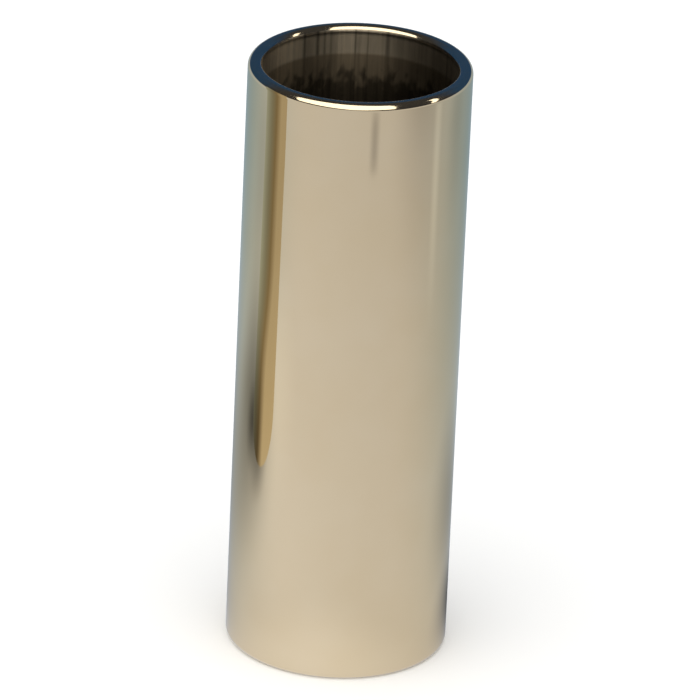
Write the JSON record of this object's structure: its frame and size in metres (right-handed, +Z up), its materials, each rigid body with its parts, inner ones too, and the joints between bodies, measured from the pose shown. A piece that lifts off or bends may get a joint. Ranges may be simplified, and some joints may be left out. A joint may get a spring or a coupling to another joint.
{
  "type": "guitar slide",
  "caption": "Straight metal tube, open at both ends with full-round rims, worn on a finger to slide along guitar strings.",
  "frame": {"origin": "centre of the lower rim's flat ring, on the plane that the slide stands on", "axes": "+Z up along the bore's axis, from the lower rim to the upper one; X and Y are alike"},
  "size_m": [0.022, 0.022, 0.0615],
  "materials": {
    "polished_brass": "buffed to a mirror outside and on the rims, plain drawn finish in the bore"
  },
  "bodies": {
    "root": {"slide_tube": "polished_brass"}
  },
  "joints": []
}
